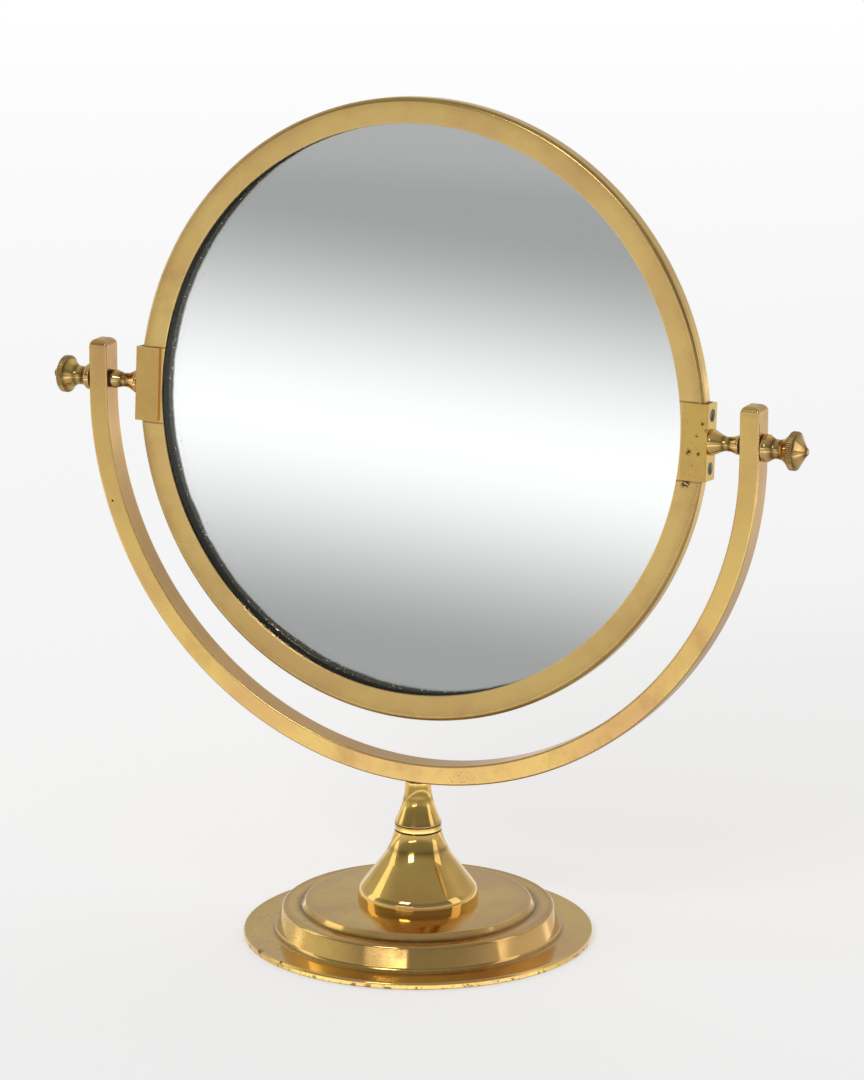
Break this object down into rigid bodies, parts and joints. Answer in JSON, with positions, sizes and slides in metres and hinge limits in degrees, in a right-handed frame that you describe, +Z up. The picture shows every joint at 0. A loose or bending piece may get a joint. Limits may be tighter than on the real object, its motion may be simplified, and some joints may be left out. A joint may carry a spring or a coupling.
{
  "type": "table mirror",
  "caption": "Round glass in a brass channel ring that tilts between thumb knobs in a half-round yoke, swivelling on a bell stem and stepped weighted foot.",
  "frame": {"origin": "middle of the foot's underside, on the surface it stands on", "axes": "+Z up, the mirror faces -Y, the tilt axis lies along X"},
  "size_m": [0.4058, 0.174, 0.4185],
  "materials": {
    "polished_brass": "polished, lightly aged and lacquer-worn",
    "sheet_brass": "satin sheet",
    "cast_iron": "rough cast, blackened",
    "felt": "short-napped felt",
    "fibre": "dark vulcanised fibre",
    "steel": "bright turned",
    "dark_steel": "tarnished, slotted heads",
    "glass": "clear plate with ground arrises",
    "silvering": "silvered",
    "card": "plain packing card"
  },
  "bodies": {
    "base": {"foot": "polished_brass", "bell": "polished_brass", "iron_weight": "cast_iron", "felt_pad": "felt", "swivel_washer": "fibre"},
    "yoke": {"yoke_bar": "polished_brass", "stem_collar": "polished_brass", "spindle": "steel", "spindle_nut": "steel", "plain_washer": "steel", "spring_washer": "steel", "friction_washer_left": "fibre", "friction_washer_right": "fibre"},
    "mirror": {"frame_ring": "polished_brass", "mirror_glass": "glass", "mirror_silvering": "silvering", "packing_sheet": "card", "back_plate": "sheet_brass", "clip_left": "polished_brass", "clip_right": "polished_brass", "clip_screws_left": "dark_steel", "clip_screws_right": "dark_steel", "boss_left": "polished_brass", "boss_right": "polished_brass"},
    "thrust_left": {"thrust_washer_left": "fibre"},
    "thumb_left": {"knob_left": "polished_brass", "knob_stud_left": "steel"},
    "thrust_right": {"thrust_washer_right": "fibre"},
    "thumb_right": {"knob_right": "polished_brass", "knob_stud_right": "steel"}
  },
  "joints": [
    {"name": "yoke_swivel", "type": "hinge", "parent": "base", "child": "yoke", "pos_m": [0, 0, 0.0544], "axis": [0, 0, 1], "continuous": true},
    {"name": "mirror_tilt", "type": "hinge", "parent": "yoke", "child": "mirror", "pos_m": [0, 0, 0.2664], "axis": [1, 0, 0], "continuous": true},
    {"name": "knob_left_travel", "type": "slide", "parent": "mirror", "child": "thrust_left", "axis": [-1, 0, 0], "range_m": [0, 0.0016]},
    {"name": "knob_left_turn", "type": "hinge", "parent": "thrust_left", "child": "thumb_left", "pos_m": [-0.19, 0, 0.2664], "axis": [-1, 0, 0], "range_deg": [0, 720]},
    {"name": "knob_right_travel", "type": "slide", "parent": "mirror", "child": "thrust_right", "axis": [1, 0, 0], "range_m": [0, 0.0016]},
    {"name": "knob_right_turn", "type": "hinge", "parent": "thrust_right", "child": "thumb_right", "pos_m": [0.19, 0, 0.2664], "axis": [1, 0, 0], "range_deg": [0, 720]}
  ],
  "couplings": [
    {"joint": "knob_left_turn", "follows": "knob_left_travel", "rad_per_m": 7854},
    {"joint": "knob_right_turn", "follows": "knob_right_travel", "rad_per_m": 7854}
  ]
}
